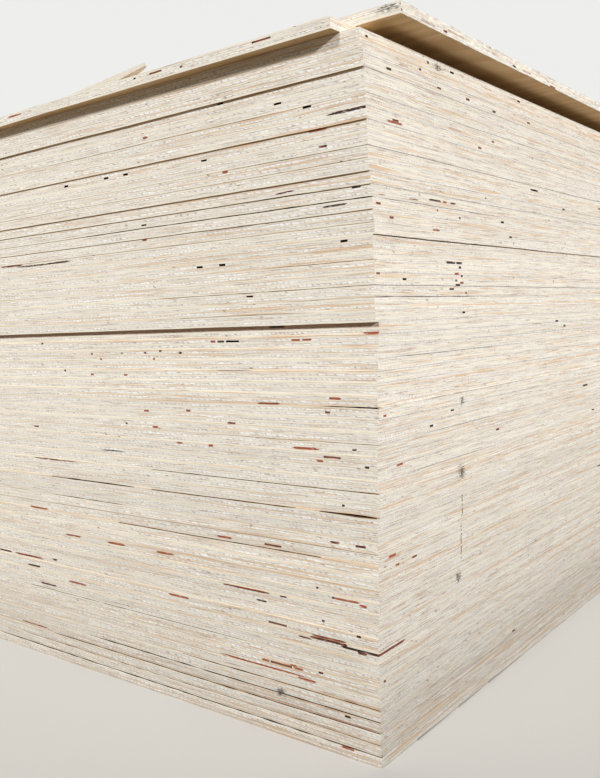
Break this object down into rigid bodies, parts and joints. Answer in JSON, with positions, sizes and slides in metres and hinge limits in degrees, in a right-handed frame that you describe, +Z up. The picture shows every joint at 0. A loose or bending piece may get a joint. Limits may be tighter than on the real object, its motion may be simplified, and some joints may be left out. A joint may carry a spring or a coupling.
{
  "type": "stack of plywood sheets",
  "caption": "Free-standing stack of full-size plywood sheets lying flat, edges slightly staggered, with two loose sheets askew on top.",
  "frame": {"origin": "centre of the bottom sheet's underside", "axes": "+X along the sheets' long side, +Y across them, away from the front edges, +Z up"},
  "size_m": [2.4925, 1.2634, 0.7531],
  "materials": {
    "plywood": "raw sawn edges, unsanded faces"
  },
  "bodies": {
    "root": {"loose_top_sheet": "plywood", "lower_pack_lift_01": "plywood", "lower_pack_lift_02": "plywood", "lower_pack_lift_03": "plywood", "lower_pack_lift_04": "plywood", "lower_pack_lift_05": "plywood", "lower_pack_lift_06": "plywood", "lower_pack_lift_07": "plywood", "lower_pack_lift_08": "plywood", "lower_pack_lift_09": "plywood", "lower_pack_lift_10": "plywood", "lower_pack_lift_11": "plywood", "lower_pack_lift_12": "plywood", "lower_pack_lift_13": "plywood", "splintered_sheet": "plywood", "upper_pack_lift_01": "plywood", "upper_pack_lift_02": "plywood", "upper_pack_lift_03": "plywood", "upper_pack_lift_04": "plywood", "upper_pack_lift_05": "plywood", "upper_pack_lift_06": "plywood", "upper_pack_lift_07": "plywood", "upper_pack_lift_08": "plywood", "upper_pack_lift_09": "plywood", "upper_pack_lift_10": "plywood", "upper_pack_lift_11": "plywood"}
  },
  "joints": []
}
